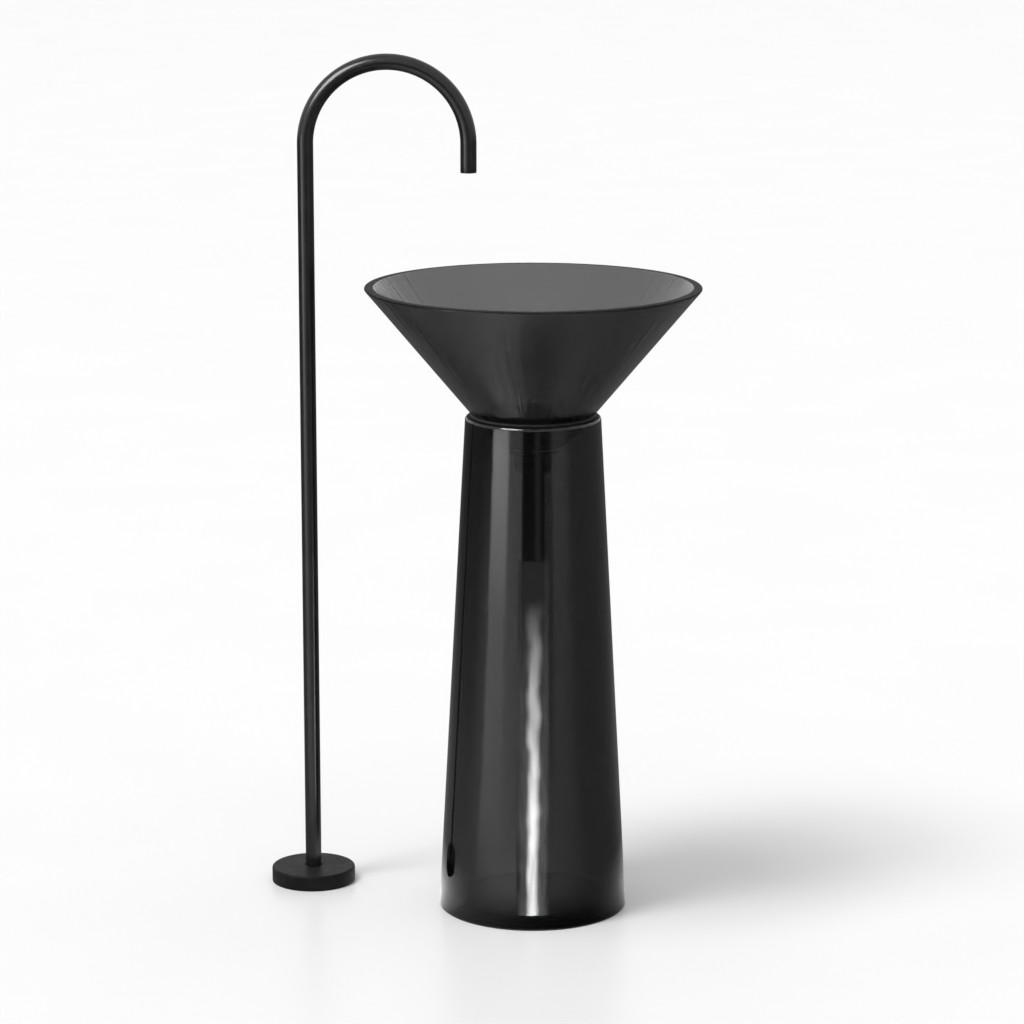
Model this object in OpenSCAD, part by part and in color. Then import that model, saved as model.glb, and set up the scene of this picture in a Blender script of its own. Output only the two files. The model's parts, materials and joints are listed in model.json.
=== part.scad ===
// Free-standing washbasin: a conical bowl in the mouth of a tapered column,
// with a floor-standing swivelling spout beside it.
// The origin is the centre of the column's foot on the floor. +Z is up.
// The spout's arch runs along +X, from its riser towards the bowl.

/* [Bowl] */
// Outer diameter of the bowl at its rim
bowl_d = 450; // [375:1:540]
// Height of the rim above the floor
rim_h = 856; // [713:1:1030]
// Angle of the cone's wall from the vertical
cone_angle = 40; // [36:1:44]
// Thickness of the cone's wall, square to its surface
bowl_wall = 11; // [9:0.5:13.5]
// Radius of the rim's edges
rim_round = 1.6; // [0.8:0.1:2.5]
// Thickness of the bowl's solid bottom
boss_t = 32; // [26:1:40]
// Height of the ledge above the bottom of the boss
ledge_h = 15; // [10:1:20]
// Width of the ledge around the boss
ledge_w = 2.5; // [1:0.5:4]
// Drop of the bowl's floor below the column's top edge
floor_drop = 7; // [3:1:12]
// Fillet between the bowl's floor and its cone
floor_round = 16; // [8:1:20]

/* [Column] */
// Outer diameter at the top
column_top_d = 183; // [170:1:220]
// Outer diameter at the foot
foot_d = 256; // [215:1:310]
// Wall thickness of the column
column_wall = 12; // [10:0.5:14]
// Width of the seat cut into the lip for the bowl
seat_w = 7; // [5:0.5:8]
// Thickness of the seat gasket
seat_t = 2.5; // [1.5:0.5:4]
// Thickness of the gasket under the foot
foot_gasket_t = 2; // [1:0.5:4]
// Thickness of the anchor plate on the floor
anchor_t = 8.5; // [6:0.5:12]

/* [Drain] */
// Diameter of the drain cover
cover_d = 80; // [70:1:84]
// Thickness of the drain cover at its edge
cover_t = 5; // [4:0.5:7]
// Travel of the drain cover
plug_travel = 9; // [5:1:10]
// Outer diameter of the waste pipe
pipe_d = 32; // [26.6:0.1:38.4]
// Step from the waste pipe's diameter to the drain body's thread
thread_step = 9.9; // [6:0.1:14]
// Wall thickness of the waste pipe
pipe_wall = 1.8; // [1.2:0.1:2.5]

/* [Spout] */
// Outer diameter of the spout's tube
tube_d = 22; // [18.3:0.1:27]
// Wall thickness of the tube
tube_wall = 1.5; // [1:0.1:2]
// Radius of the arch's centre line
arch_r = 110; // [100:1:132]
// Height of the outlet above the bowl's rim
outlet_rise = 141; // [100:1:200]
// Length of the straight leg from the arch down to the outlet
leg_len = 38; // [30:1:60]
// Outlet's distance from the sink's axis, towards -X
outlet_side = 87; // [60:1:110]
// Outlet's distance behind the sink's axis
outlet_back = 100; // [60:1:120]
// Diameter of the disc at the spout's base
disc_d = 116; // [104:1:140]
// Height of the disc
disc_h = 21; // [17.5:0.1:26]
// Turn of the spout to each side of its rest place
swivel_angle = 60; // [30:1:75]

/* [Hidden] */
$fn = 96;
ARC_STEPS = 6;

// Clearances, and how far a cut runs past the surface it opens
run_gap = 0.05;
part_gap = 0.5;
pipe_gap = 0.3;
past = 1;

// Colours
smoke = [0.16, 0.16, 0.165, 0.55];
black = [0.05, 0.05, 0.05];
rubber = [0.09, 0.09, 0.09];
brass = [0.72, 0.58, 0.3];
steel = [0.62, 0.63, 0.65];

// Bowl and its seat on the column's lip. bowl_r is where the cone would meet the rim's plane unrounded
rim_edge_angle = 90 - cone_angle;
bowl_r = bowl_d / 2 + rim_round * (1 / tan(rim_edge_angle / 2) - 1);
slope = tan(cone_angle);
wall_w = bowl_wall / cos(cone_angle);
lip_r = column_wall / 2;
lip_c = column_top_d / 2 - lip_r;
seat_c = sqrt(lip_r * lip_r - seat_w * seat_w / 4);
lip_z = rim_h - (bowl_r - lip_c + (seat_c + seat_t) / cos(cone_angle)) / slope;
column_h = lip_z + lip_r;
floor_z = column_h - floor_drop;
boss_z = floor_z - boss_t;
ledge_z = boss_z + ledge_h;
boss_round = 8;

// Drain
pipe_r = pipe_d / 2;
thread_d = pipe_d + thread_step;
thread_r = thread_d / 2;
hole_gap = 1.5;
hole_r = thread_r + hole_gap;
cover_overhang = 7;
flange_r = cover_d / 2 - cover_overhang;
flange_gap = 1;
flange_t = 3.5;
gasket_t = 1.5;
floor_fall = 1.5;
recess_z = floor_z - floor_fall - flange_t - gasket_t;
flange_z = recess_z + gasket_t;
flange_top = flange_z + flange_t;
body_wall = 3.5;
drain_bore_r = thread_r - body_wall;
mouth_flare = 2;
mouth_r = thread_r + mouth_flare;
mouth_depth = 5;
cover_gap = 1.2;
cover_z = flange_top + cover_gap;
cover_crown = 2.6;
plug_neck_r = drain_bore_r;
plug_neck_h = 1.2;
seal_t = 2.6;
seal_z = cover_z - plug_neck_h - seal_t;
seal_r = mouth_r - (mouth_r - drain_bore_r) * (flange_top - seal_z) / mouth_depth - part_gap;
seal_seat = 3;
seal_core_r = plug_neck_r - seal_seat;
stem_r = 4;
stem_guide = 17;
cartridge_r = 8.5;
cartridge_floor = 3;
spring_room = plug_travel + 5;
cartridge_len = cartridge_floor + spring_room + stem_guide;
cartridge_drop = 6;
cartridge_top = flange_top - mouth_depth - cartridge_drop;
cartridge_z = cartridge_top - cartridge_len;
stem_end = cartridge_z + cartridge_floor + spring_room;
spider_t = 6;
spider_arm = 4;
spider_root = 1;
spider_z = cartridge_top - stem_guide + past;
hub_t = 2.5;
spring_wire = 0.6;
spring_side_gap = 0.15;
spring_end_gap = 0.1;
spring_r = stem_r - spring_wire - spring_side_gap;
spring_turns = 6;
under_t = 3;
under_w = 15;
washer_t = 1.5;
washer_w = 14;
nut_t = 8;
nut_w = 11;
washer_z = boss_z - under_t - washer_t;
nut_z = washer_z - nut_t;
body_tail = 14;
body_z = nut_z - body_tail;

// Waste pipe
pipe_insert = 10;
pipe_top = body_z + pipe_insert;
seal_h = 5;
seal_floor = body_z - seal_h;
coupling_wall = 5;
coupling_r = thread_r + coupling_wall;
coupling_grip = 11;
coupling_lip = 4;
coupling_z = seal_floor - coupling_lip;
coupling_h = body_z + coupling_grip - coupling_z;
flute_count = 12;
flute_r = 2;

// Foot
foot_r = foot_d / 2;
foot_taper = (foot_r - column_top_d / 2) / (lip_z - foot_gasket_t);
anchor_gap = 4;
anchor_r = foot_r - column_wall - foot_taper * anchor_t - anchor_gap;
centring_z = 1.5;
centring_h = 5;
centring_gap = 0.1;
anchor_hole_gap = 22;
anchor_hole_r = pipe_r + anchor_hole_gap;
anchor_inset = 20;
anchor_pcd = 2 * (anchor_r - anchor_inset);
anchor_screw_r = 3.25;
foot_gasket_inset = 1;
rosette_t = 3;
rosette_lap = 6;

// Spout
tube_r = tube_d / 2;
tube_bore_r = tube_r - tube_wall;
outlet_z = rim_h + outlet_rise;
arch_z = outlet_z + leg_len;
riser_x = outlet_side + 2 * arch_r;
disc_r = disc_d / 2;
disc_wall = 3;
plate_t = 6;
grip_w = 3;
grip_h = 3;
grip_z = 1;
plate_r = disc_r - disc_wall - grip_w;
plate_inset = 8;
plate_pcd = 2 * (plate_r - plate_inset);
plate_screw_r = 2.75;
supply_r = 9.3;
body_step = 16;
body_r = tube_r + body_step;
body_top = disc_h - disc_wall - part_gap;
screw_inset = 4;
screw_pcd = 2 * (body_r - screw_inset);
screw_r = 1.6;
screw_head_r = 2.9;
screw_head_h = 2.5;
screw_head_gap = 0.2;
screw_socket_r = 1.2;
screw_socket_h = 1.6;
screw_z = 1;
under_flange_gap = 0.4;
over_flange_gap = 0.3;
flange_side_gap = 0.4;
swivel_z = plate_t + under_flange_gap;
spigot_flange_t = 2.6;
flange_step = 5;
spigot_flange_r = tube_r + flange_step;
spigot_flange_top = swivel_z + spigot_flange_t;
spigot_lip = 1.5;
spigot_bore_r = supply_r - spigot_lip;
spigot_sink = 1;
spigot_top = disc_h - spigot_sink;
spigot_neck_h = 12;
ring_r = 0.85;
ring_gap = 0.02;
ring_first = 2.6;
ring_pitch = 3.2;
ring_steps = [spigot_flange_top + ring_first, spigot_flange_top + ring_first + ring_pitch];
stop_r = 1.2;
stop_root = 3;
stop_side_gap = 0.25;
stop_out = 0.3;
stop_c = spigot_flange_r - stop_r + stop_out;
stop_turn = swivel_angle + asin((stop_r + stop_side_gap) / stop_c);
groove_gap = 2.4;
groove_w = 2;
groove_h = 1.6;
wiper_w = 2;
housing_len = 14;
housing_lip = 1.2;
housing_wall = 1.7;
core_t = 5;
core_drop = 1;
core_r = tube_bore_r - housing_wall;
aerator_gasket_t = 1.5;

function cone_r(z) = bowl_r - slope * (rim_h - z);
function column_r(z) = foot_r - foot_taper * (z - foot_gasket_t);
function unit(v) = v / norm(v);

// Points of one corner of an outline, rounded to radius r
function corner(a, b, c, r) =
    r == 0 ? [b] :
    let (u = unit(a - b),
         v = unit(c - b),
         half = acos(u * v) / 2,
         centre = b + unit(u + v) * r / sin(half),
         from = b + u * r / tan(half) - centre,
         to = b + v * r / tan(half) - centre,
         turn = atan2(from[0] * to[1] - from[1] * to[0], from * to),
         start = atan2(from[1], from[0]))
    [for (i = [0 : ARC_STEPS])
        centre + r * [cos(start + turn * i / ARC_STEPS), sin(start + turn * i / ARC_STEPS)]];

// Closed outline from entries [x, z, corner radius]
function rounded(points) =
    let (n = len(points))
    [for (i = [0 : n - 1])
        let (a = points[(i + n - 1) % n], b = points[i], c = points[(i + 1) % n])
        each corner([a[0], a[1]], [b[0], b[1]], [c[0], c[1]], b[2])];

module lathe(points) {
    rotate_extrude() polygon(rounded(points));
}

module ring(r_in, r_out, z, h) {
    translate([0, 0, z])
        rotate_extrude()
            translate([r_in, 0])
                square([r_out - r_in, h]);
}

module at_riser() {
    translate([-riser_x, outlet_back, 0]) children();
}

module at_outlet() {
    translate([-outlet_side, outlet_back, 0]) children();
}

module round_row(pcd, count, r, z, h) {
    for (i = [0 : count - 1])
        rotate(i * 360 / count + 45)
            translate([pcd / 2, 0, z])
                cylinder(r = r, h = h);
}

// Conical bowl with its thick bottom, drain hole and flange recess
module bowl() {
    color(smoke)
        lathe([
            [bowl_r, rim_h, rim_round],
            [bowl_r - wall_w, rim_h, rim_round],
            [cone_r(floor_z) - wall_w, floor_z, floor_round],
            [flange_r + flange_gap, floor_z - floor_fall, 0],
            [flange_r + flange_gap, recess_z, 0],
            [hole_r, recess_z, 0],
            [hole_r, boss_z, 0],
            [cone_r(boss_z) - ledge_w, boss_z, boss_round],
            [cone_r(ledge_z) - ledge_w, ledge_z, 0],
            [cone_r(ledge_z), ledge_z, 1]
        ]);
}

// Strip between the bowl's cone and the seat cut into the column's lip
module seat_gasket() {
    color(rubber)
        rotate_extrude()
            translate([lip_c, lip_z])
                rotate(-cone_angle)
                    translate([-seat_c - seat_t, -seat_w / 2 - 1])
                        square([seat_t, seat_w + 2]);
}

// Tapered tube with a full-round lip, cut to a conical seat where the bowl rests
module column() {
    color(smoke)
        rotate_extrude()
            difference() {
                union() {
                    polygon([
                        [foot_r - column_wall, foot_gasket_t],
                        [foot_r, foot_gasket_t],
                        [column_top_d / 2, lip_z],
                        [column_top_d / 2 - column_wall, lip_z]
                    ]);
                    translate([lip_c, lip_z])
                        circle(r = lip_r);
                }
                translate([lip_c, lip_z])
                    rotate(-cone_angle)
                        translate([-seat_c - 3 * lip_r, -3 * lip_r])
                            square([3 * lip_r, 6 * lip_r]);
            }
}

module foot_gasket() {
    color(rubber)
        ring(foot_r - column_wall + foot_gasket_inset, foot_r - foot_gasket_inset, 0, foot_gasket_t);
}

// Plate screwed to the floor, which keeps the column's foot in place
module anchor_plate() {
    color(black)
        difference() {
            lathe([
                [anchor_hole_r, 0, 0],
                [anchor_r, 0, 0],
                [anchor_r, anchor_t, 1],
                [anchor_hole_r, anchor_t, 1]
            ]);
            round_row(anchor_pcd, 4, anchor_screw_r, -past, anchor_t + 2 * past);
        }
}

// Rubber ring that centres the column on the anchor plate
module centring_ring() {
    centring_r = column_r(centring_z + centring_h) - column_wall - centring_gap;
    color(rubber)
        ring(anchor_r, centring_r, centring_z, centring_h);
}

// Ring that closes the plate's hole around the waste pipe
module pipe_rosette() {
    color(black)
        lathe([
            [pipe_r + pipe_gap, anchor_t, 0],
            [anchor_hole_r + rosette_lap, anchor_t, 0],
            [anchor_hole_r + rosette_lap, anchor_t + rosette_t, 1.5],
            [pipe_r + pipe_gap, anchor_t + rosette_t, 1]
        ]);
}

// Three-armed spider that holds the cartridge in the drain body's bore
module spider() {
    ring(cartridge_r, cartridge_r + hub_t, spider_z, spider_t);
    for (i = [0 : 2])
        rotate(i * 120)
            translate([cartridge_r + hub_t / 2, -spider_arm / 2, spider_z])
                cube([drain_bore_r + spider_root - cartridge_r - hub_t / 2, spider_arm, spider_t]);
}

// Flange and threaded tube through the bowl's bottom, with its spider
module drain_body() {
    color(black)
        union() {
            lathe([
                [drain_bore_r, body_z, 0],
                [thread_r, body_z, 0.8],
                [thread_r, flange_z, 0],
                [flange_r, flange_z, 0],
                [flange_r, flange_top, 1],
                [mouth_r, flange_top, 0.6],
                [drain_bore_r, flange_top - mouth_depth, 0]
            ]);
            spider();
        }
}

module flange_gasket() {
    color(rubber)
        ring(hole_r, flange_r - flange_gap, recess_z, gasket_t);
}

// Crowned cover with the short neck that carries its seal
module drain_cover() {
    color(black)
        lathe([
            [0, seal_z, 0],
            [seal_core_r, seal_z, 0],
            [seal_core_r, seal_z + seal_t, 0],
            [plug_neck_r, seal_z + seal_t, 0],
            [plug_neck_r, cover_z, 0],
            [cover_d / 2, cover_z, 0.8],
            [cover_d / 2, cover_z + cover_t, 2],
            [cover_d / 4, cover_z + cover_t + cover_crown * 0.72, 60],
            [0, cover_z + cover_t + cover_crown, 0]
        ]);
}

module cover_seal() {
    color(rubber)
        lathe([
            [seal_core_r, seal_z, 0],
            [seal_r, seal_z, 1],
            [seal_r, seal_z + seal_t, 1],
            [seal_core_r, seal_z + seal_t, 0]
        ]);
}

// Rod under the cover, which slides in the cartridge
module plug_stem() {
    color(steel)
        translate([0, 0, stem_end])
            cylinder(r = stem_r, h = seal_z - stem_end);
}

// Sleeve with a closed end, which holds the stem and its spring
module click_cartridge() {
    color(brass)
        lathe([
            [0, cartridge_z, 0],
            [cartridge_r, cartridge_z, 1],
            [cartridge_r, cartridge_top, 1],
            [stem_r + run_gap, cartridge_top, 0],
            [stem_r + run_gap, cartridge_z + cartridge_floor, 0],
            [0, cartridge_z + cartridge_floor, 0]
        ]);
}

// Points of one ring of the spring's wire, at turn a
function wire_ring(a, rise, sides) =
    [for (j = [0 : sides - 1])
        let (r = spring_r + spring_wire * cos(j * 360 / sides),
             z = rise * a / 360 + spring_wire * sin(j * 360 / sides))
        [r * cos(a), r * sin(a), z]];

// Spring that lifts the stem, squeezed between the stem's end and the cartridge's floor
module click_spring() {
    sides = 8;
    per_turn = 14;
    rings = spring_turns * per_turn;
    bottom = cartridge_z + cartridge_floor + spring_wire + spring_end_gap;
    top = stem_end - spring_wire - spring_end_gap;
    rise = (top - bottom) / spring_turns;
    points = [for (i = [0 : rings]) each wire_ring(i * 360 / per_turn, rise, sides)];
    skin = [for (i = [0 : rings - 1])
                for (j = [0 : sides - 1])
                    [i * sides + j,
                     (i + 1) * sides + j,
                     (i + 1) * sides + (j + 1) % sides,
                     i * sides + (j + 1) % sides]];
    start_cap = [for (j = [0 : sides - 1]) j];
    end_cap = [for (j = [sides - 1 : -1 : 0]) rings * sides + j];
    color(steel)
        translate([0, 0, bottom])
            polyhedron(points, concat(skin, [start_cap, end_cap]), convexity = 4);
}

module under_gasket() {
    color(rubber)
        ring(thread_r, thread_r + under_w, boss_z - under_t, under_t);
}

module thrust_washer() {
    color(steel)
        ring(thread_r, thread_r + washer_w, washer_z, washer_t);
}

// Six-sided nut that clamps the drain body to the bowl
module lock_nut() {
    color(black)
        translate([0, 0, nut_z])
            difference() {
                cylinder(r = thread_r + nut_w, h = nut_t, $fn = 6);
                translate([0, 0, -past])
                    cylinder(r = thread_r, h = nut_t + 2 * past);
            }
}

// Nut that squeezes the pipe seal against the drain body's end
module coupling_nut() {
    color(black)
        difference() {
            lathe([
                [thread_r, seal_floor, 0],
                [thread_r, coupling_z + coupling_h, 0],
                [coupling_r, coupling_z + coupling_h, 1],
                [coupling_r, coupling_z, 2],
                [pipe_r + pipe_gap, coupling_z, 0],
                [pipe_r + pipe_gap, seal_floor, 0]
            ]);
            for (i = [0 : flute_count - 1])
                rotate(i * 360 / flute_count)
                    translate([coupling_r + flute_r / 2, 0, coupling_z - past])
                        cylinder(r = flute_r, h = coupling_h + 2 * past);
        }
}

module pipe_seal() {
    color(rubber)
        ring(pipe_r, thread_r, seal_floor, seal_h);
}

// Straight pipe from the drain body down to the floor
module waste_pipe() {
    color(black)
        ring(pipe_r - pipe_wall, pipe_r, 0, pipe_top);
}

// Riser, half-circle arch and outlet leg, as one bent tube
module tube_path(r) {
    at_riser()
        translate([0, 0, spigot_top])
            cylinder(r = r, h = arch_z - spigot_top);
    translate([-outlet_side - arch_r, outlet_back, arch_z])
        rotate([90, 0, 0])
            rotate_extrude(angle = 180)
                translate([arch_r, 0])
                    circle(r = r);
    at_outlet()
        translate([0, 0, outlet_z])
            cylinder(r = r, h = leg_len);
}

module spout_tube() {
    color(black)
        difference() {
            tube_path(tube_r);
            tube_path(tube_bore_r);
            at_riser()
                translate([0, 0, spigot_top - past])
                    cylinder(r = tube_bore_r, h = 2 * past);
            at_outlet()
                translate([0, 0, outlet_z - past])
                    cylinder(r = tube_bore_r, h = 2 * past);
        }
}

// Sleeve in the outlet, with a thin lip that closes the tube's end
module aerator_housing() {
    color(black)
        at_outlet()
            lathe([
                [core_r, outlet_z - housing_lip, 0.4],
                [tube_r, outlet_z - housing_lip, 0.5],
                [tube_r, outlet_z, 0],
                [tube_bore_r, outlet_z, 0],
                [tube_bore_r, outlet_z + housing_len, 0],
                [core_r, outlet_z + housing_len, 0]
            ]);
}

// Disc of small holes that straightens the stream
module aerator_core() {
    pitch = 2.6;
    hole = 0.9;
    rows = 2;
    color(steel)
        at_outlet()
            translate([0, 0, outlet_z + core_drop])
                difference() {
                    cylinder(r = core_r, h = core_t);
                    for (i = [-rows : rows])
                        for (j = [-rows : rows])
                            if (abs(i + j) <= rows)
                                translate([pitch * (i + j / 2), pitch * j * sqrt(3) / 2, -past])
                                    cylinder(r = hole, h = core_t + 2 * past, $fn = 24);
                }
}

module aerator_gasket() {
    color(rubber)
        at_outlet()
            ring(core_r, tube_bore_r, outlet_z + housing_len, aerator_gasket_t);
}

// Turned end of the spout, brazed into the tube, with two ring grooves and a notched flange
module spout_spigot() {
    color(brass)
        at_riser()
            difference() {
                lathe([
                    [spigot_bore_r, swivel_z, 0],
                    [spigot_flange_r, swivel_z, 0.4],
                    [spigot_flange_r, spigot_flange_top, 0.4],
                    [tube_r, spigot_flange_top, 0],
                    [tube_r, spigot_top, 0],
                    [tube_bore_r, spigot_top, 0],
                    [tube_bore_r, spigot_top + spigot_neck_h, 0.6],
                    [spigot_bore_r, spigot_top + spigot_neck_h, 0]
                ]);
                for (z = ring_steps)
                    ring(tube_r - 2 * ring_r, tube_r + past, z - ring_r, 2 * ring_r);
                translate([0, 0, swivel_z - past])
                    rotate(180 - stop_turn)
                        rotate_extrude(angle = 2 * stop_turn)
                            translate([stop_c - stop_r - stop_out, 0])
                                square([stop_r * 4, spigot_flange_t + 2 * past]);
            }
}

// Two rubber rings in the spigot's grooves
module spigot_o_rings() {
    color(rubber)
        at_riser()
            for (z = ring_steps)
                translate([0, 0, z])
                    rotate_extrude()
                        translate([tube_r - ring_r, 0])
                            circle(r = ring_r - ring_gap, $fn = 24);
}

module plate_groove(z, h) {
    ring(spigot_flange_r + groove_gap, spigot_flange_r + groove_gap + groove_w, z, h);
}

// Bearing that the spigot turns in, with the shoulder that holds its flange down
module swivel_body() {
    flange_room = spigot_flange_top + over_flange_gap;
    color(brass)
        at_riser()
            difference() {
                lathe([
                    [tube_r + run_gap, plate_t, 0],
                    [body_r, plate_t, 0],
                    [body_r, body_top, 1.2],
                    [tube_r + run_gap, body_top, 0.4]
                ]);
                translate([0, 0, plate_t - past])
                    cylinder(r = spigot_flange_r + flange_side_gap, h = flange_room - plate_t + past);
                plate_groove(plate_t - past, groove_h + past);
                round_row(screw_pcd, 3, screw_r, plate_t - past, disc_h);
                round_row(screw_pcd, 3, screw_head_r, body_top - screw_head_h, disc_h);
            }
}

// Pin in the floor plate, which the notch in the spigot's flange meets at each end of the turn
module swivel_stop() {
    color(steel)
        at_riser()
            translate([-stop_c, 0, plate_t - stop_root])
                cylinder(r = stop_r, h = spigot_flange_top - plate_t + stop_root);
}

module body_screws() {
    color(steel)
        at_riser()
            difference() {
                union() {
                    round_row(screw_pcd, 3, screw_r, screw_z, body_top - screw_head_h - screw_z);
                    round_row(screw_pcd, 3, screw_head_r - screw_head_gap, body_top - screw_head_h,
                              screw_head_h - screw_head_gap);
                }
                round_row(screw_pcd, 3, screw_socket_r, body_top - screw_socket_h, screw_head_h);
            }
}

module plate_o_ring() {
    color(rubber)
        at_riser()
            plate_groove(plate_t, groove_h);
}

// Plate screwed to the floor under the spout, with the supply's thread in its middle
module spout_floor_plate() {
    color(steel)
        at_riser()
            difference() {
                cylinder(r = plate_r, h = plate_t);
                translate([0, 0, -past])
                    cylinder(r = supply_r, h = plate_t + 2 * past);
                round_row(plate_pcd, 4, plate_screw_r, -past, plate_t + 2 * past);
                round_row(screw_pcd, 3, screw_r, screw_z, plate_t);
                translate([-stop_c, 0, plate_t - stop_root])
                    cylinder(r = stop_r, h = plate_t);
            }
}

// Disc-shaped cover over the plate and the bearing
module spout_base_cover() {
    color(black)
        at_riser()
            lathe([
                [disc_r - disc_wall, 0, 0],
                [disc_r, 0, 0.6],
                [disc_r, disc_h, 3],
                [tube_r + wiper_w, disc_h, 0.5],
                [tube_r + wiper_w, disc_h - disc_wall, 0],
                [disc_r - disc_wall, disc_h - disc_wall, 0]
            ]);
}

// Ring that closes the gap between the turning tube and the cover
module tube_wiper() {
    color(rubber)
        at_riser()
            ring(tube_r + run_gap, tube_r + wiper_w, disc_h - disc_wall, disc_wall - part_gap);
}

module cover_grip_ring() {
    color(rubber)
        at_riser()
            ring(plate_r, disc_r - disc_wall, grip_z, grip_h);
}

bowl();
seat_gasket();
column();
foot_gasket();
anchor_plate();
centring_ring();
pipe_rosette();
drain_body();
flange_gasket();
drain_cover();
cover_seal();
plug_stem();
click_cartridge();
click_spring();
under_gasket();
thrust_washer();
lock_nut();
coupling_nut();
pipe_seal();
waste_pipe();
spout_tube();
aerator_housing();
aerator_core();
aerator_gasket();
spout_spigot();
spigot_o_rings();
swivel_body();
swivel_stop();
body_screws();
plate_o_ring();
spout_floor_plate();
spout_base_cover();
tube_wiper();
cover_grip_ring();
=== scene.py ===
import json
import math

import bmesh
import bpy
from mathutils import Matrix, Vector


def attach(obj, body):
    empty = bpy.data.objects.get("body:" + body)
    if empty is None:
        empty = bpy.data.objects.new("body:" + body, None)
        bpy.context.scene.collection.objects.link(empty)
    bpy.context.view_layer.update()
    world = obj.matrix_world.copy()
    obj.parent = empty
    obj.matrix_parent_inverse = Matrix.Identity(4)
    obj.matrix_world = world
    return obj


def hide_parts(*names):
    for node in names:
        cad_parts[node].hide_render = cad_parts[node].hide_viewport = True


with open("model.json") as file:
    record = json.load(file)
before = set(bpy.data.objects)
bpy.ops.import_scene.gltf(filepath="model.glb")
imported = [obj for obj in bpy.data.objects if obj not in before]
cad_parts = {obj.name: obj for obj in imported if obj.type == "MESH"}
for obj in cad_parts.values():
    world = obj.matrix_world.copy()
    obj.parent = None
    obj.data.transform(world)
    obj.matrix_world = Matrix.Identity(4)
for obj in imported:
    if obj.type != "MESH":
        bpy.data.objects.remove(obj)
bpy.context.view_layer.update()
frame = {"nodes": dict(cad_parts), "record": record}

NODES = frame["nodes"]
MM = 0.001

# Sizes of the CAD model, in millimetres. The object's axis is the bowl's, and z is up from the floor.
RIM_H = 856.0
CONE_ANGLE = math.radians(40)
BOWL_HALF = 225.0
BOWL_WALL = 11.0
RIM_ROUND = 1.6
HALF_CORNER = math.radians(25)
BOWL_R = BOWL_HALF + RIM_ROUND * (1 / math.tan(HALF_CORNER) - 1)
SLOPE = math.tan(CONE_ANGLE)
WALL_W = BOWL_WALL / math.cos(CONE_ANGLE)
FLOOR_ROUND = 16

TOP_R, FOOT_R, COLUMN_WALL = 91.5, 128.0, 12.0
LIP_R = COLUMN_WALL / 2
LIP_C = TOP_R - LIP_R
SEAT_W, SEAT_T, SEAT_CLEAR = 7.0, 2.5, 0.05
SEAT_C = math.sqrt(LIP_R ** 2 - SEAT_W ** 2 / 4)
LIP_Z = RIM_H - (BOWL_R - LIP_C + (SEAT_C + SEAT_T) / math.cos(CONE_ANGLE)) / SLOPE
GASKET_T = 2.0

FLOOR_DROP, BOSS_T, LEDGE_H, LEDGE_W = 7, 32, 15, 2.5
BOSS_ROUND, LEDGE_ROUND = 8, 1
FLOOR_Z = LIP_Z + LIP_R - FLOOR_DROP
BOSS_Z = FLOOR_Z - BOSS_T
LEDGE_Z = BOSS_Z + LEDGE_H

THREAD_R, HOLE_GAP, BODY_WALL = 20.95, 1.5, 3.5
HOLE_R = THREAD_R + HOLE_GAP
BORE_R = THREAD_R - BODY_WALL
FLANGE_R, FLANGE_GAP = 33.0, 1
RECESS_Z = FLOOR_Z - 6.5
FLANGE_TOP = FLOOR_Z - 1.5
COVER_LIFT = 1.2
COVER_Z = FLANGE_TOP + COVER_LIFT
COVER_R, COVER_T, COVER_CROWN = 40.0, 5.0, 2.6
SEAL_T = 2.6
SEAL_Z = COVER_Z - COVER_LIFT - SEAL_T
SEAL_CORE_R = BORE_R - 3
PIPE_R, PIPE_WALL, PIPE_TOP = 16.0, 1.8, 626.597

TUBE_R, TUBE_BORE = 11.0, 9.5
ARCH_R = 110.0
OUTLET_Z = RIM_H + 141
ARCH_Z = OUTLET_Z + 38
RISER_X, RISER_Y = -307.0, 100.0
OUTLET_X = -87.0
MOUTH_BEVEL, MOUTH_STEP = 0.35, 0.1
SLEEVE_R, SLEEVE_DROP, SLEEVE_H = 7.8, 1.2, 14
DISC_R, DISC_H, DISC_WALL, DISC_ROUND = 58.0, 21.0, 3.0, 3.0
SPIGOT_TOP = DISC_H - 1
WIPER_W = 2

# Roundings that show as a fine line of light, and ones that only take the sharpness off
EASED, BROKEN = 0.3, 0.2


def cone_r(z):
    """Radius of the bowl's outer cone at height z."""
    return BOWL_R - SLOPE * (RIM_H - z)


# ---------------------------------------------------------------- mesh tools

# Millimetres between a corner and the first loop beside it, and the most that this may be of a straight part
EDGE_LOOP, EDGE_SHARE = 0.5, 0.06
ON_AXIS = 1e-6
SAME_PLACE = 1e-7
SHARP_ANGLE = 35
TUBE_SEGMENTS = 64


def corner(a, b, c, radius, steps):
    """Points of the corner at b, rounded to radius."""
    if radius == 0:
        return [b]
    u, v = (a - b).normalized(), (c - b).normalized()
    half = u.angle(v) / 2
    centre = b + (u + v).normalized() * radius / math.sin(half)
    start = b + u * radius / math.tan(half) - centre
    end = b + v * radius / math.tan(half) - centre
    turn = math.atan2(start.x * end.y - start.y * end.x, start.dot(end))
    first = math.atan2(start.y, start.x)
    return [centre + radius * Vector((math.cos(first + turn * i / steps), math.sin(first + turn * i / steps)))
            for i in range(steps + 1)]


def rounded(points, steps=6):
    """Closed outline in (r, z) from entries (r, z, corner radius)."""
    plain = [Vector(p[:2]) for p in points]
    n = len(points)
    out = []
    for i, p in enumerate(points):
        out += corner(plain[i - 1], plain[i], plain[(i + 1) % n], p[2], steps)
    return out


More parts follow.
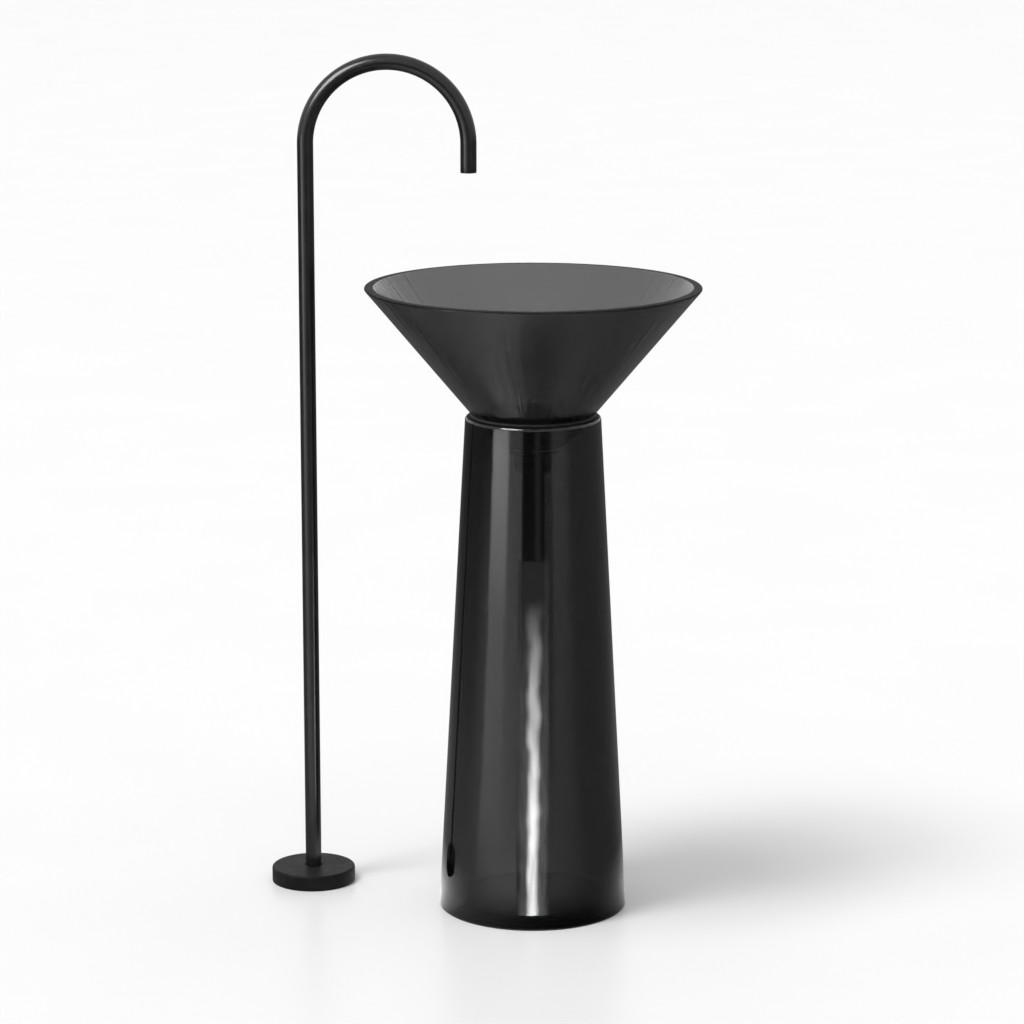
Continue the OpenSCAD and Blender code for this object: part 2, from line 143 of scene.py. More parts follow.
def split_long(outline, longest):
    """The closed outline with its long straight parts cut up, more finely beside each corner."""
    out = []
    for i, p in enumerate(outline):
        q = outline[(i + 1) % len(outline)]
        out.append(p)
        length = (q - p).length
        if length > longest:
            edge = min(EDGE_SHARE, EDGE_LOOP / length)
            count = max(1, round(length / longest))
            out += [p.lerp(q, edge + (1 - 2 * edge) * k / count) for k in range(count + 1)]
    return out


def finish_mesh(name, bm, body, material):
    """Turns the mesh under work into a piece that rides on a body."""
    bmesh.ops.remove_doubles(bm, verts=bm.verts, dist=SAME_PLACE)
    bmesh.ops.recalc_face_normals(bm, faces=bm.faces)
    mesh = bpy.data.meshes.new(name)
    bm.to_mesh(mesh)
    bm.free()
    mesh.polygons.foreach_set("use_smooth", [True] * len(mesh.polygons))
    mesh.set_sharp_from_angle(angle=math.radians(SHARP_ANGLE))
    piece = bpy.data.objects.new(name, mesh)
    bpy.context.scene.collection.objects.link(piece)
    mesh.materials.append(material)
    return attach(piece, body)


def lathe(name, outline, body, material, centre=(0, 0), segments=192, longest=12.0):
    """Closed outline in (r, z) millimetres turned about the vertical axis through centre."""
    outline = split_long(outline, longest)
    bm = bmesh.new()
    rings = []
    for p in outline:
        if abs(p.x) < ON_AXIS:
            rings.append([bm.verts.new((centre[0] * MM, centre[1] * MM, p.y * MM))] * segments)
            continue
        ring = []
        for a in (math.tau * k / segments for k in range(segments)):
            x, y = centre[0] + p.x * math.cos(a), centre[1] + p.x * math.sin(a)
            ring.append(bm.verts.new((x * MM, y * MM, p.y * MM)))
        rings.append(ring)
    skin(bm, rings, segments)
    return finish_mesh(name, bm, body, material)


def skin(bm, rings, segments):
    """Faces from each ring of points to the next and from the last one to the first."""
    for i, ring in enumerate(rings):
        after = rings[(i + 1) % len(rings)]
        for k in range(segments):
            corners = [ring[k], ring[(k + 1) % segments], after[(k + 1) % segments], after[k]]
            distinct = list(dict.fromkeys(corners))
            if len(distinct) > 2:
                bm.faces.new(distinct)


def sweep(name, path, body, material, segments=TUBE_SEGMENTS):
    """Closed wall of a tube: path runs out along the outside and back along the bore."""
    bm = bmesh.new()
    rings = []
    for point, tangent, radius in path:
        side = Vector((0, 1, 0))
        up = side.cross(tangent).normalized()
        rings.append([bm.verts.new((point + (side * math.cos(a) + up * math.sin(a)) * radius) * MM)
                      for a in (math.tau * k / segments for k in range(segments))])
    skin(bm, rings, segments)
    return finish_mesh(name, bm, body, material)


# ---------------------------------------------------------------- materials


class Nodes:
    """Short calls for building one material's node tree, with places taken from the object's own frame."""

    def __init__(self, name):
        self.material = bpy.data.materials.new(name)
        self.material.use_nodes = True
        self.tree = self.material.node_tree
        self.shader = self.tree.nodes["Principled BSDF"]
        self.output = self.tree.nodes["Material Output"]
        self.place = self.tree.nodes.new("ShaderNodeTexCoord").outputs["Object"]

    def add(self, kind, **values):
        node = self.tree.nodes.new("ShaderNode" + kind)
        for key, value in values.items():
            setattr(node, key, value)
        return node

    def link(self, source, target):
        self.tree.links.new(source, target)

    def scaled(self, scale):
        node = self.add("Mapping")
        node.inputs["Scale"].default_value = scale
        self.link(self.place, node.inputs["Vector"])
        return node.outputs["Vector"]

    def noise(self, scale, detail=4.0, rough=0.5, stretch=(1, 1, 1)):
        node = self.add("TexNoise")
        node.inputs["Scale"].default_value = scale
        node.inputs["Detail"].default_value = detail
        node.inputs["Roughness"].default_value = rough
        self.link(self.scaled(stretch), node.inputs["Vector"])
        return node.outputs["Fac"]

    def round_noise(self, count, along=4.0):
        """Noise that changes quickly round the upright axis and slowly along it."""
        parts = self.add("SeparateXYZ")
        self.link(self.place, parts.inputs[0])
        flat = self.add("CombineXYZ")
        self.link(parts.outputs["X"], flat.inputs["X"])
        self.link(parts.outputs["Y"], flat.inputs["Y"])
        unit = self.add("VectorMath", operation="NORMALIZE")
        self.link(flat.outputs[0], unit.inputs[0])
        spread = self.add("VectorMath", operation="SCALE")
        spread.inputs["Scale"].default_value = count
        self.link(unit.outputs[0], spread.inputs[0])
        rise = self.add("CombineXYZ")
        self.link(self.maths("MULTIPLY", parts.outputs["Z"], along), rise.inputs["Z"])
        place = self.add("VectorMath", operation="ADD")
        self.link(spread.outputs[0], place.inputs[0])
        self.link(rise.outputs[0], place.inputs[1])
        node = self.add("TexNoise")
        node.inputs["Scale"].default_value = 1.0
        node.inputs["Detail"].default_value = 5.0
        node.inputs["Roughness"].default_value = 0.65
        self.link(place.outputs[0], node.inputs["Vector"])
        return node.outputs["Fac"]

    def ramp(self, source, low, high, start=0.35, end=0.65):
        node = self.add("MapRange")
        node.inputs["From Min"].default_value = start
        node.inputs["From Max"].default_value = end
        node.inputs["To Min"].default_value = low
        node.inputs["To Max"].default_value = high
        self.link(source, node.inputs["Value"])
        return node.outputs["Result"]

    def blend_colour(self, factor, a, b):
        node = self.add("Mix", data_type="RGBA")
        node.inputs[6].default_value = (*a, 1)
        node.inputs[7].default_value = (*b, 1)
        self.link(factor, node.inputs[0])
        return node.outputs[2]

    def bump(self, height, strength, distance, normal=None):
        node = self.add("Bump")
        node.inputs["Strength"].default_value = strength
        node.inputs["Distance"].default_value = distance
        self.link(height, node.inputs["Height"])
        if normal is not None:
            self.link(normal, node.inputs["Normal"])
        return node.outputs["Normal"]

    def maths(self, operation, a, b=None, c=None):
        node = self.add("Math", operation=operation)
        for socket, value in zip(node.inputs, (a, b, c)):
            if isinstance(value, bpy.types.NodeSocket):
                self.link(value, socket)
            elif value is not None:
                socket.default_value = value
        return node.outputs[0]

    def emit(self, colour, level):
        """The material's front gives light, its back is clear, and nothing samples it as a lamp."""
        node = self.add("Emission")
        node.inputs["Strength"].default_value = level
        self.link(colour, node.inputs["Color"])
        mix = self.add("MixShader")
        self.link(self.add("NewGeometry").outputs["Backfacing"], mix.inputs[0])
        self.link(node.outputs["Emission"], mix.inputs[1])
        self.link(self.add("BsdfTransparent").outputs[0], mix.inputs[2])
        self.link(mix.outputs[0], self.output.inputs["Surface"])
        self.tree.nodes.remove(self.shader)
        self.material.cycles.emission_sampling = "NONE"

    def set(self, **values):
        for key, value in values.items():
            socket = self.shader.inputs[key.replace("_", " ")]
            if isinstance(value, bpy.types.NodeSocket):
                self.link(value, socket)
            else:
                socket.default_value = value


def smoked(name, wave, density, streaks=None):
    """Smoke-grey cast resin: clear, polished, tinted through its depth, with slow ripples along its height.

    wave is the ripples' strength, density how fast the depth darkens, streaks how many lines run down it.
    """
    n = Nodes(name)
    tint = n.blend_colour(n.ramp(n.noise(22, 3), 0, 1), (0.97, 0.97, 0.975), (1.0, 1.0, 1.0))
    polish = n.ramp(n.noise(90, 6, 0.6), 0.0, 0.022)
    ripple = n.noise(16, 2.0, 0.5, (1, 1, 0.35))
    fine = n.noise(70, 3.0, 0.5, (1, 1, 0.5))
    normal = n.bump(fine, wave * 0.5, 0.0004, n.bump(ripple, wave, 0.0014))
    if streaks is not None:
        normal = n.bump(n.round_noise(streaks), 0.6, 0.0016, normal)
    n.set(Base_Color=tint, Roughness=polish, IOR=1.5, Normal=normal)
    n.shader.inputs["Transmission Weight"].default_value = 1.0
    volume = n.add("VolumeAbsorption")
    volume.inputs["Color"].default_value = (0.10, 0.10, 0.106, 1)
    volume.inputs["Density"].default_value = density
    n.link(volume.outputs["Volume"], n.output.inputs["Volume"])
    return n.material


def painted_shade_edge(name):
    """Near-black, barely reflecting top face of the resin: painted shade that stands in for the dark band
    seen along the rim and the lip.
    """
    n = Nodes(name)
    n.set(Base_Color=n.blend_colour(n.ramp(n.noise(120, 4), 0, 1), (0.010,) * 3, (0.016,) * 3),
          Roughness=n.ramp(n.noise(300, 3), 0.32, 0.45), Normal=n.bump(n.noise(900, 3), 0.1, 0.00003))
    n.shader.inputs["Specular IOR Level"].default_value = 0.006
    return n.material


def coated(name, smooth, rough, level):
    """Matt black powder coat: fine orange-peel grain and slightly uneven sheen."""
    n = Nodes(name)
    colour = n.blend_colour(n.ramp(n.noise(35, 5), 0, 1), (0.0055, 0.0055, 0.0058), (0.010, 0.010, 0.0104))
    sheen = n.ramp(n.noise(160, 4, 0.6), smooth, rough)
    grain = n.noise(1500, 2.0)
    peel = n.noise(420, 3.0)
    normal = n.bump(grain, 0.05, 0.00002, n.bump(peel, 0.04, 0.00005))
    n.set(Base_Color=colour, Roughness=sheen, Normal=normal)
    n.shader.inputs["Specular IOR Level"].default_value = level
    return n.material


def rubber(name):
    """Dull black rubber with a fine dry grain."""
    n = Nodes(name)
    colour = n.blend_colour(n.ramp(n.noise(60, 5), 0, 1), (0.010, 0.010, 0.010), (0.018, 0.018, 0.018))
    n.set(Base_Color=colour, Roughness=n.ramp(n.noise(240, 4), 0.62, 0.8),
          Normal=n.bump(n.noise(2200, 2), 0.3, 0.00003))
    return n.material


def plastic(name):
    """Black moulded plastic with a soft sheen."""
    n = Nodes(name)
    colour = n.blend_colour(n.ramp(n.noise(40, 4), 0, 1), (0.012, 0.012, 0.0125), (0.02, 0.02, 0.021))
    n.set(Base_Color=colour, Roughness=n.ramp(n.noise(130, 4), 0.28, 0.4),
          Normal=n.bump(n.noise(1800, 2), 0.15, 0.00002))
    return n.material


def turned(name, light, dark, low, high):
    """Turned metal: fine rings along the height and slightly darker stains."""
    n = Nodes(name)
    stain = n.ramp(n.noise(45, 6, 0.6), 0, 1, 0.4, 0.7)
    rings = n.noise(900, 2, 0.5, (0.05, 0.05, 2.2))
    n.set(Base_Color=n.blend_colour(stain, light, dark), Metallic=1.0,
          Roughness=n.ramp(rings, low, high), Normal=n.bump(rings, 0.25, 0.00004))
    return n.material


def studio_floor():
    """Plain pale floor with a faint sheen."""
    n = Nodes("studio_floor")
    n.set(Base_Color=n.blend_colour(n.ramp(n.noise(3, 3), 0, 1), (0.605,) * 3, (0.615,) * 3), Roughness=0.30)
    n.shader.inputs["Specular IOR Level"].default_value = 0.2
    return n.material


def surround_glow(name, radii, stops):
    """Emitter of the surround. A stop is the turn from the front in degrees and a level for each radius."""
    n = Nodes(name)
    parts = n.add("SeparateXYZ")
    n.link(n.place, parts.inputs[0])
    back = n.maths("MULTIPLY", parts.outputs["Y"], -1.0)
    turn = n.maths("ARCTAN2", parts.outputs["X"], back)
    share = n.maths("MULTIPLY_ADD", turn, 0.5 / math.pi, 0.5)
    distance = n.add("VectorMath", operation="LENGTH")
    n.link(n.place, distance.inputs[0])
    far = n.maths("LOGARITHM", distance.outputs["Value"], 10.0)
    level = None
    for k in range(len(radii)):
        curve = n.add("ValToRGB")
        elements = curve.color_ramp.elements
        while len(elements) < len(stops):
            elements.new(0.5)
        for element, stop in zip(elements, stops):
            element.position = (stop[0] + 180) / 360
            element.color = (stop[k + 1] / TOP_LEVEL,) * 3 + (1,)
        n.link(share, curve.inputs[0])
        if level is None:
            level = curve.outputs[0]
            continue
        mix = n.add("Mix", data_type="RGBA")
        n.link(n.ramp(far, 0, 1, math.log10(radii[k - 1]), math.log10(radii[k])), mix.inputs[0])
        n.link(level, mix.inputs[6])
        n.link(curve.outputs[0], mix.inputs[7])
        level = mix.outputs[2]
    n.emit(level, TOP_LEVEL)
    return n.material


# The streak's lean, where its core and skirt fade out sideways and upwards (metres), and its levels of light
STREAK_LEAN, STREAK_SHIFT = 0.010, -0.001
STREAK_RAGGED = 0.006
STREAK_CORE, STREAK_SKIRT = (0.006, 0.021), (0.012, 0.052)
SKIRT_SHARE = 0.14
STREAK_FADE = (0.14, 0.445)
STREAK_LEVEL, STREAK_GROUND = 22.0, 0.45


def streak(name):
    """Emitter of the narrow strip before the foot: bright and ragged, fading upwards."""
    n = Nodes(name)
    parts = n.add("SeparateXYZ")
    n.link(n.place, parts.inputs[0])
    middle = n.maths("MULTIPLY_ADD", parts.outputs["Z"], STREAK_LEAN, STREAK_SHIFT)
    ragged = n.ramp(n.noise(30, 4, 0.6, (0.6, 1, 0.9)), -STREAK_RAGGED, STREAK_RAGGED, 0.3, 0.7)
    across = n.maths("SUBTRACT", n.maths("ADD", parts.outputs["X"], ragged), middle)
    offset = n.maths("ABSOLUTE", across)
    core = n.ramp(offset, 1.0, 0.0, *STREAK_CORE)
    skirt = n.ramp(offset, SKIRT_SHARE, 0.0, *STREAK_SKIRT)
    grain = n.ramp(n.noise(60, 5, 0.6, (1.6, 1, 0.25)), 0.55, 1.15, 0.3, 0.7)
    fade = n.ramp(parts.outputs["Z"], 1.0, 0.0, *STREAK_FADE)
    shape = n.maths("MULTIPLY", n.maths("ADD", core, skirt), n.maths("MULTIPLY", grain, fade))
    n.emit(n.maths("ADD", n.maths("MULTIPLY", shape, STREAK_LEVEL), STREAK_GROUND), 1.0)
    return n.material


SMOKE_BOWL = smoked("smoked_resin_bowl", 0.06, 200.0, 18.0)
# Painted shade: a near-black, barely reflecting top face for the rim and the lip
PAINTED_SHADE_EDGE = painted_shade_edge("smoked_resin_painted_shade_edge")
SMOKE_COLUMN = smoked("smoked_resin_column", 0.35, 204.0)
BLACK = coated("black_coat", 0.20, 0.25, 0.42)
BLACK_BASE = coated("black_coat_base", 0.42, 0.52, 0.07)
RUBBER = rubber("black_rubber")
PLASTIC = plastic("black_plastic")
STEEL = turned("turned_steel", (0.55, 0.55, 0.56), (0.38, 0.38, 0.39), 0.2, 0.36)
BRASS = turned("turned_brass", (0.72, 0.54, 0.26), (0.5, 0.36, 0.17), 0.22, 0.38)
SLOT_MATERIAL = {
    "smoked_resin": SMOKE_COLUMN, "black_metal": BLACK, "black_rubber": RUBBER,
    "black_plastic": PLASTIC, "steel": STEEL, "brass": BRASS,
}


def dress_cad_nodes():
    """Gives each carried-over CAD node the material of its slot."""
    for part in frame["record"]["subparts"]:
        node = NODES.get(part["node"])
        if node is None:
            continue
        node.data.materials.clear()
        node.data.materials.append(SLOT_MATERIAL[part["material_slot"]])


# ---------------------------------------------------------------- pieces

# How far the painted shade of the rim's top reaches down its rounding, and how high up the lip it starts
SHADE_ROUND, SHADE_LIP = 0.8, 0.75
BEAD_STEPS, BEAD_BACK_STEPS = 20, 4
RISER_STEPS, ARCH_STEPS, LEG_STEPS = 24, 96, 4


def make_bowl():
    """Conical shell with a solid bottom, which is recessed for the drain's flange and stepped at its edge."""
    floor_wall = cone_r(FLOOR_Z) - WALL_W
    recess_r = FLANGE_R + FLANGE_GAP
    outline = rounded([
        (BOWL_R, RIM_H, RIM_ROUND),
        (BOWL_R - WALL_W, RIM_H, RIM_ROUND),
        (floor_wall, FLOOR_Z, FLOOR_ROUND),
        (recess_r, FLANGE_TOP, EASED),
        (recess_r, RECESS_Z, EASED),
        (HOLE_R, RECESS_Z, 0),
        (HOLE_R, BOSS_Z, 0),
        (cone_r(BOSS_Z) - LEDGE_W, BOSS_Z, BOSS_ROUND),
        (cone_r(LEDGE_Z) - LEDGE_W, LEDGE_Z, 0.4),
        (cone_r(LEDGE_Z), LEDGE_Z, LEDGE_ROUND),
    ], steps=8)
    piece = lathe("sink_bowl", outline, "stand", SMOKE_BOWL, segments=256)
    # The rim's flat top and outer rounding get painted shade: near-black and barely reflecting
    paint_top_shade(piece, RIM_H - RIM_ROUND * SHADE_ROUND, BOWL_R - WALL_W + RIM_ROUND)
    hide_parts("bowl")


def seat_line():
    """The seat's two ends, cut into the lip square to the cone, in (r, z)."""
    out = Vector((-math.cos(CONE_ANGLE), math.sin(CONE_ANGLE)))
    along = Vector((math.sin(CONE_ANGLE), math.cos(CONE_ANGLE)))
    middle = Vector((LIP_C, LIP_Z)) + out * SEAT_C
    return middle - along * SEAT_W / 2, middle + along * SEAT_W / 2, out, along


def paint_top_shade(piece, height, inner):
    """Gives the faces above height and outside the inner radius the near-black painted shade of the rim's and
    the lip's tops.
    """
    piece.data.materials.append(PAINTED_SHADE_EDGE)
    for face in piece.data.polygons:
        if face.center.z > height * MM and face.center.xy.length > inner * MM:
            face.material_index = 1


def lip_arc(first, last, steps):
    """Points on the column's round lip from one angle to another."""
    centre = Vector((LIP_C, LIP_Z))
    return [centre + LIP_R * Vector((math.cos(a), math.sin(a)))
            for a in (first + (last - first) * i / steps for i in range(steps + 1))]


def make_column():
    """Tapered tube with a round lip, whose inner side is cut flat for the seat."""
    low, high, _, _ = seat_line()
    centre = Vector((LIP_C, LIP_Z))
    first = math.atan2((high - centre).y, (high - centre).x)
    last = math.atan2((low - centre).y, (low - centre).x)
    outline = rounded([(FOOT_R - COLUMN_WALL, GASKET_T, 0.8), (FOOT_R, GASKET_T, 0.8),
                       (TOP_R, LIP_Z, 0)])[:-1]
    outline += lip_arc(0.0, first, BEAD_STEPS) + lip_arc(last, math.pi, BEAD_BACK_STEPS)
    piece = lathe("sink_column", outline, "stand", SMOKE_COLUMN, segments=256)
    # The lip's top gets the same near-black painted shade
    paint_top_shade(piece, LIP_Z + LIP_R * SHADE_LIP, LIP_C - LIP_R)
    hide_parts("column")


def make_seat():
    """Rubber ring between the lip and the cone, a little wider than the seat."""
    low, high, out, along = seat_line()
    a, b = low - along, high + along
    thick = out * (SEAT_T - SEAT_CLEAR)
    points = [(*a, EASED), (*b, EASED), (*(b + thick), EASED), (*(a + thick), EASED)]
    piece = lathe("seat_strip", rounded(points, 3), "stand", RUBBER, segments=192)
    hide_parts("seat_gasket")


def make_drain_cover():
    """Round cover with a crowned top, a rolled edge and the seal's carrier under it."""
    low, high = SEAL_Z, SEAL_Z + SEAL_T
    top, crown = COVER_Z + COVER_T, COVER_Z + COVER_T + COVER_CROWN
    hub = 0.5
    outline = [Vector((0, low))]
    outline += rounded([
        (hub, low, 0), (SEAL_CORE_R, low, 0.4), (SEAL_CORE_R, high, 0), (BORE_R, high, BROKEN),
        (BORE_R, COVER_Z, EASED), (COVER_R - 3.0, COVER_Z, 0), (COVER_R - 2.6, COVER_Z + 0.5, BROKEN),
        (COVER_R, COVER_Z + 0.5, 0.6), (COVER_R, top, 2.0),
        (COVER_R / 2, top + COVER_CROWN * 0.72, 60), (hub, crown, 0),
    ])
    outline.append(Vector((0, crown)))
    piece = lathe("drain_cover_crowned", outline, "plug", BLACK, segments=128, longest=6.0)
    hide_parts("drain_cover")


def make_waste_pipe():
    """Straight pipe with its ends eased."""
    outline = rounded([(PIPE_R - PIPE_WALL, 0, 0.4), (PIPE_R, 0, 0.4), (PIPE_R, PIPE_TOP, 0.6),
                       (PIPE_R - PIPE_WALL, PIPE_TOP, 0.4)])
    piece = lathe("waste_pipe_tube", outline, "stand", PLASTIC, segments=96, longest=30.0)
    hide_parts("waste_pipe")


def make_tube_end():
    """Aerator housing: lip with a fine bevel, which shows in the spout's mouth."""
    low, top = OUTLET_Z - SLEEVE_DROP, OUTLET_Z + SLEEVE_H
    outline = rounded([
        (SLEEVE_R, low, 0.4), (TUBE_R - MOUTH_BEVEL, low, EASED), (TUBE_R, low + MOUTH_BEVEL, BROKEN),
        (TUBE_R, OUTLET_Z, 0), (TUBE_BORE, OUTLET_Z, 0), (TUBE_BORE, top, 0), (SLEEVE_R, top, 0),
    ])
    piece = lathe("aerator_sleeve", outline, "spout", BLACK, centre=(OUTLET_X, RISER_Y), segments=96)
    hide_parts("aerator_housing")


def make_wiper():
    """Rubber lip between the turning tube and the disc, with a peaked top edge."""
    low, high = DISC_H - DISC_WALL, DISC_H - 0.5
    near, far = TUBE_R + 0.05, TUBE_R + WIPER_W
    outline = rounded([
        (near, low, BROKEN), (far, low, BROKEN), (far, high - 0.6, BROKEN),
        (TUBE_R + 1.2, high, EASED), (TUBE_R + 0.6, high - 0.5, BROKEN), (near, high, 0.05),
    ])
    piece = lathe("tube_wiper_lip", outline, "stand", RUBBER, centre=(RISER_X, RISER_Y), segments=96)
    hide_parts("tube_wiper")


def make_foot_ring():
    """Gasket under the column, with its edges eased and a shallow groove along its outer side."""
    inner, outer = FOOT_R - COLUMN_WALL + 1, FOOT_R - 1
    outline = rounded([
        (inner, 0, EASED), (outer, 0, EASED), (outer, 0.6, 0.1), (outer - 0.4, 1.0, BROKEN),
        (outer, 1.4, 0.1), (outer, GASKET_T, EASED), (inner, GASKET_T, EASED),
    ])
    piece = lathe("foot_ring", outline, "stand", RUBBER, segments=256)
    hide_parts("foot_gasket")


def tube_path(radius, outlet_shift):
    """(point, tangent, radius) along the riser, arch and leg, in millimetres."""
    up, down = Vector((0, 0, 1)), Vector((0, 0, -1))
    path = [(Vector((RISER_X, RISER_Y, z)), up, radius)
            for z in (SPIGOT_TOP + (ARCH_Z - SPIGOT_TOP) * i / RISER_STEPS for i in range(RISER_STEPS))]
    centre = Vector((RISER_X + ARCH_R, RISER_Y, ARCH_Z))
    for i in range(ARCH_STEPS + 1):
        a = math.pi * (1 - i / ARCH_STEPS)
        path.append((centre + ARCH_R * Vector((math.cos(a), 0, math.sin(a))),
                     Vector((math.sin(a), 0, -math.cos(a))), radius))
    drop = ARCH_Z - OUTLET_Z - outlet_shift
    path += [(Vector((OUTLET_X, RISER_Y, z)), down, radius)
             for z in (ARCH_Z - drop * i / LEG_STEPS for i in range(1, LEG_STEPS + 1))]
    return path


def make_tube():
    """Riser, half-circle arch and outlet leg as one bent tube, with its mouth bevelled."""
    down = Vector((0, 0, -1))
    outer = tube_path(TUBE_R, MOUTH_BEVEL)
    inner = tube_path(TUBE_BORE, 0.0)
    mouth = [(Vector((OUTLET_X, RISER_Y, OUTLET_Z + MOUTH_STEP)), down, TUBE_R - MOUTH_STEP),
             (Vector((OUTLET_X, RISER_Y, OUTLET_Z)), down, TUBE_R - MOUTH_BEVEL)]
    piece = sweep("spout_tube_bent", outer + mouth + list(reversed(inner)), "spout", BLACK)
    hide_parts("spout_tube")


def make_base():
    """Hollow disc over the floor plate, with a softened top edge and a hole for the wiper."""
    hole, inner, under = TUBE_R + WIPER_W, DISC_R - DISC_WALL, DISC_H - DISC_WALL
    outline = rounded([
        (inner, 0, 0), (DISC_R, 0, 0.6), (DISC_R, DISC_H, DISC_ROUND), (hole, DISC_H, 0.5),
        (hole, under, 0), (inner, under, 0),
    ], steps=8)
    piece = lathe("spout_disc", outline, "stand", BLACK_BASE, centre=(RISER_X, RISER_Y), segments=160)
    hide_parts("spout_base_cover")


# ---------------------------------------------------------------- studio

# Metres, degrees and levels of light
FLOOR_SIZE = 120.0
ROOM_LEVEL = 0.92
SUN_TURN, SUN_HEIGHTS, SUN_WIDTH = math.radians(32), (57, 66, 75), math.radians(15)
SUN_STRENGTH = 0.84
SOFTBOX_AT, SOFTBOX_DISTANCE, SOFTBOX_SIZE, SOFTBOX_LEVEL = (44, 44), 4.0, 1.9, 17.0
STRIP_ENDS = ((0.22, 0.0), (0.135, 0.5))
STRIP_HALF_TURN, STRIP_COLUMNS = math.radians(14.5), 12

# What shiny things mirror of the studio below them: the turn from the front, then the level at each radius
TOP_LEVEL = 4.0
SURROUND_HEIGHT = 0.001
SURROUND_RADII = (0.20, 0.40, 1.0, 3.0, 6.0)
SURROUND = [
    (-180, 0.30, 0.18, 0.20, 0.10, 0.10),
    (-135, 0.70, 0.22, 0.20, 0.10, 0.08),
    (-105, 1.60, 0.30, 0.30, 0.15, 0.08),
    (-90, 1.30, 0.45, 0.40, 0.20, 0.08),
    (-71, 0.80, 0.55, 0.70, 0.60, 0.10),
    (-66, 0.50, 0.70, 1.40, 1.70, 3.60),
    (-44, 0.36, 1.20, 1.40, 1.60, 3.40),
    (-38, 0.34, 1.25, 1.20, 1.00, 0.90),
    (-19, 0.20, 1.30, 0.90, 0.80, 0.80),
    (-15, 0.16, 1.20, 0.60, 0.15, 0.08),
    (0, 0.10, 1.05, 0.50, 0.15, 0.08),
    (7, 0.08, 0.90, 0.48, 0.40, 0.35),
    (14, 0.06, 0.70, 0.40, 0.14, 0.08),
    (27, 0.05, 0.65, 0.48, 0.20, 0.16),
    (33, 0.05, 0.60, 0.50, 0.50, 0.55),
    (50, 0.08, 0.45, 0.40, 0.40, 0.50),
    (64, 0.20, 0.30, 0.25, 0.22, 0.20),
    (110, 0.70, 0.16, 0.20, 0.20, 0.20),
    (180, 0.30, 0.18, 0.20, 0.10, 0.10),
]

# The lens and its place give the photograph's viewing angle
LENS, SENSOR = 126.74, 36
CAMERA_AT = (-0.0283, -4.75, 1.5693)
CAMERA_TILT = 12.12


def make_floor():
    """Large plain floor under everything."""
    bm = bmesh.new()
    bmesh.ops.create_grid(bm, x_segments=2, y_segments=2, size=FLOOR_SIZE / 2)
    mesh = bpy.data.meshes.new("studio_floor")
    bm.to_mesh(mesh)
    bm.free()
    floor = bpy.data.objects.new("studio_floor", mesh)
    mesh.materials.append(studio_floor())
    bpy.context.scene.collection.objects.link(floor)


def only_mirrored(name, bm, material):
    """Adds a stage object that only reflections show."""
    mesh = bpy.data.meshes.new(name)
    bm.to_mesh(mesh)
    bm.free()
    mesh.materials.append(material)
    card = bpy.data.objects.new(name, mesh)
    bpy.context.scene.collection.objects.link(card)
    card.visible_camera = False
    card.visible_diffuse = False
    card.visible_shadow = False
    card.visible_transmission = False
    card.visible_volume_scatter = False


def make_surround():
    """Disc just above the floor, whose clear underside leaves the floor's own sheen as it is."""
    bm = bmesh.new()
    bmesh.ops.create_circle(bm, cap_ends=True, segments=64, radius=FLOOR_SIZE / 2)
    bmesh.ops.translate(bm, verts=bm.verts, vec=(0, 0, SURROUND_HEIGHT))
    only_mirrored("surround", bm, surround_glow("surround", SURROUND_RADII, SURROUND))


def make_strip():
    """Strip leaning over the column's foot, whose clear outer side hides it from the floor and the bowl."""
    bm = bmesh.new()
    columns = []
    for i in range(STRIP_COLUMNS + 1):
        a = STRIP_HALF_TURN * (1 - 2 * i / STRIP_COLUMNS)
        columns.append([bm.verts.new((r * math.sin(a), -r * math.cos(a), z)) for r, z in STRIP_ENDS])
    for left, right in zip(columns, columns[1:]):
        bm.faces.new([left[0], right[0], right[1], left[1]])
    only_mirrored("strip", bm, streak("strip"))


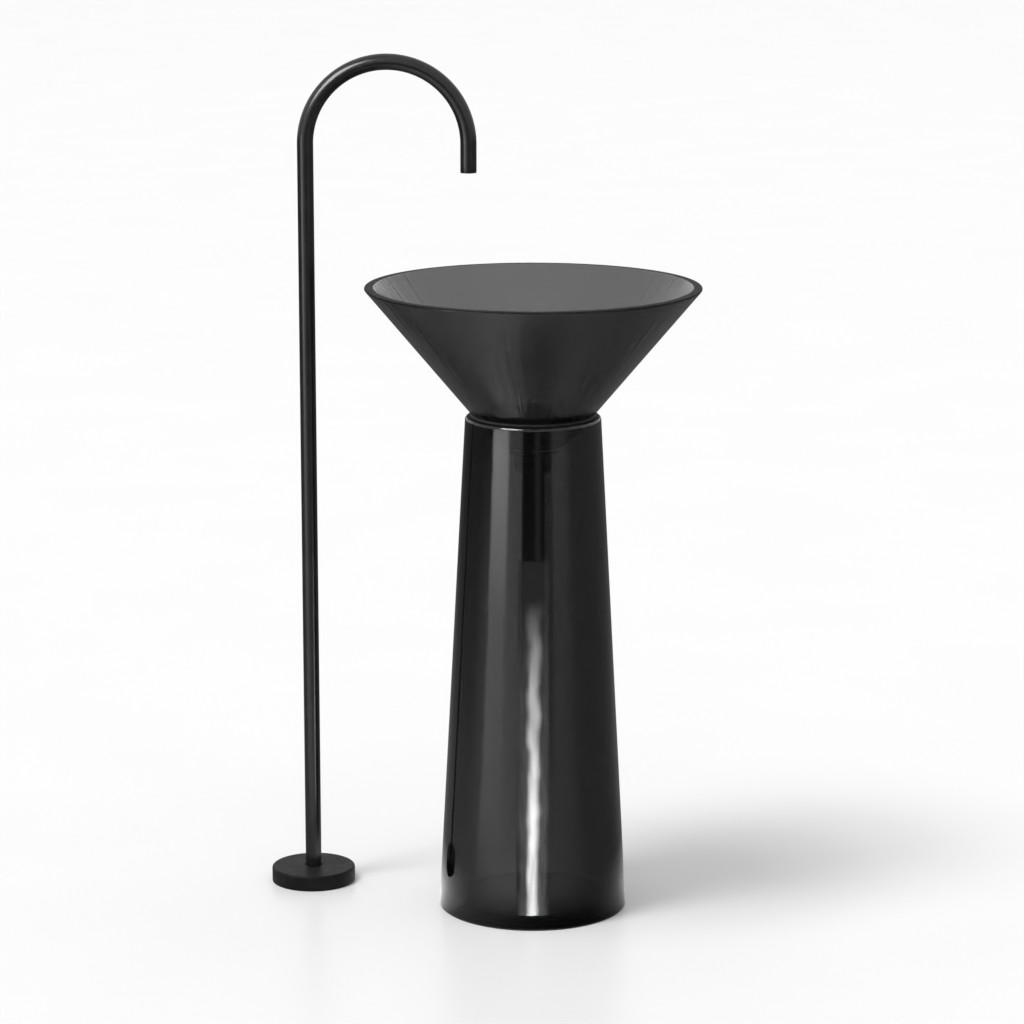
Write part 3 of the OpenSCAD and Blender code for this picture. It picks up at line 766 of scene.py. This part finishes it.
def make_softbox():
    """Bright card high at the front left, which gives the lip, the arch and other edges their glints."""
    turn, rise = (math.radians(a) for a in SOFTBOX_AT)
    flat = math.cos(rise)
    centre = Vector((-math.sin(turn) * flat, -math.cos(turn) * flat, math.sin(rise))) * SOFTBOX_DISTANCE
    bm = bmesh.new()
    bmesh.ops.create_grid(bm, x_segments=1, y_segments=1, size=SOFTBOX_SIZE / 2)
    facing = (-centre).to_track_quat("Z", "Y").to_matrix().to_4x4()
    bmesh.ops.transform(bm, verts=bm.verts, matrix=facing)
    bmesh.ops.translate(bm, verts=bm.verts, vec=centre)
    n = Nodes("softbox")
    n.emit(n.blend_colour(n.ramp(n.noise(1.5, 2), 0, 1), (0.9,) * 3, (1.0,) * 3), SOFTBOX_LEVEL)
    only_mirrored("softbox", bm, n.material)


def make_lights():
    """Even room light, three soft suns for one soft shadow, and what only reflections show."""
    world = bpy.data.worlds.new("studio")
    bpy.context.scene.world = world
    world.use_nodes = True
    background = world.node_tree.nodes["Background"]
    background.inputs["Color"].default_value = (1, 1, 1, 1)
    background.inputs["Strength"].default_value = ROOM_LEVEL
    for height in SUN_HEIGHTS:
        sun = bpy.data.lights.new(f"key_{height}", "SUN")
        sun.energy = SUN_STRENGTH
        sun.angle = SUN_WIDTH
        key = bpy.data.objects.new(sun.name, sun)
        rise = math.radians(height)
        towards = Vector((-math.cos(SUN_TURN) * math.cos(rise), -math.sin(SUN_TURN) * math.cos(rise),
                          math.sin(rise)))
        key.visible_glossy = False
        key.visible_transmission = False
        key.rotation_mode = "QUATERNION"
        key.rotation_quaternion = towards.to_track_quat("Z", "Y")
        bpy.context.scene.collection.objects.link(key)
    make_surround()
    make_strip()
    make_softbox()


def make_camera():
    """Camera at the photograph's viewing angle, without any shift."""
    data = bpy.data.cameras.new("camera")
    data.lens = LENS
    data.sensor_width = SENSOR
    camera = bpy.data.objects.new("camera", data)
    camera.location = CAMERA_AT
    camera.rotation_euler = (math.radians(90 - CAMERA_TILT), 0, 0)
    bpy.context.scene.collection.objects.link(camera)
    bpy.context.scene.camera = camera
    bpy.context.scene.view_settings.view_transform = "Standard"


make_camera()
dress_cad_nodes()
make_bowl()
make_column()
make_seat()
make_drain_cover()
make_waste_pipe()
make_foot_ring()
make_tube()
make_tube_end()
make_wiper()
make_base()
make_floor()
make_lights()
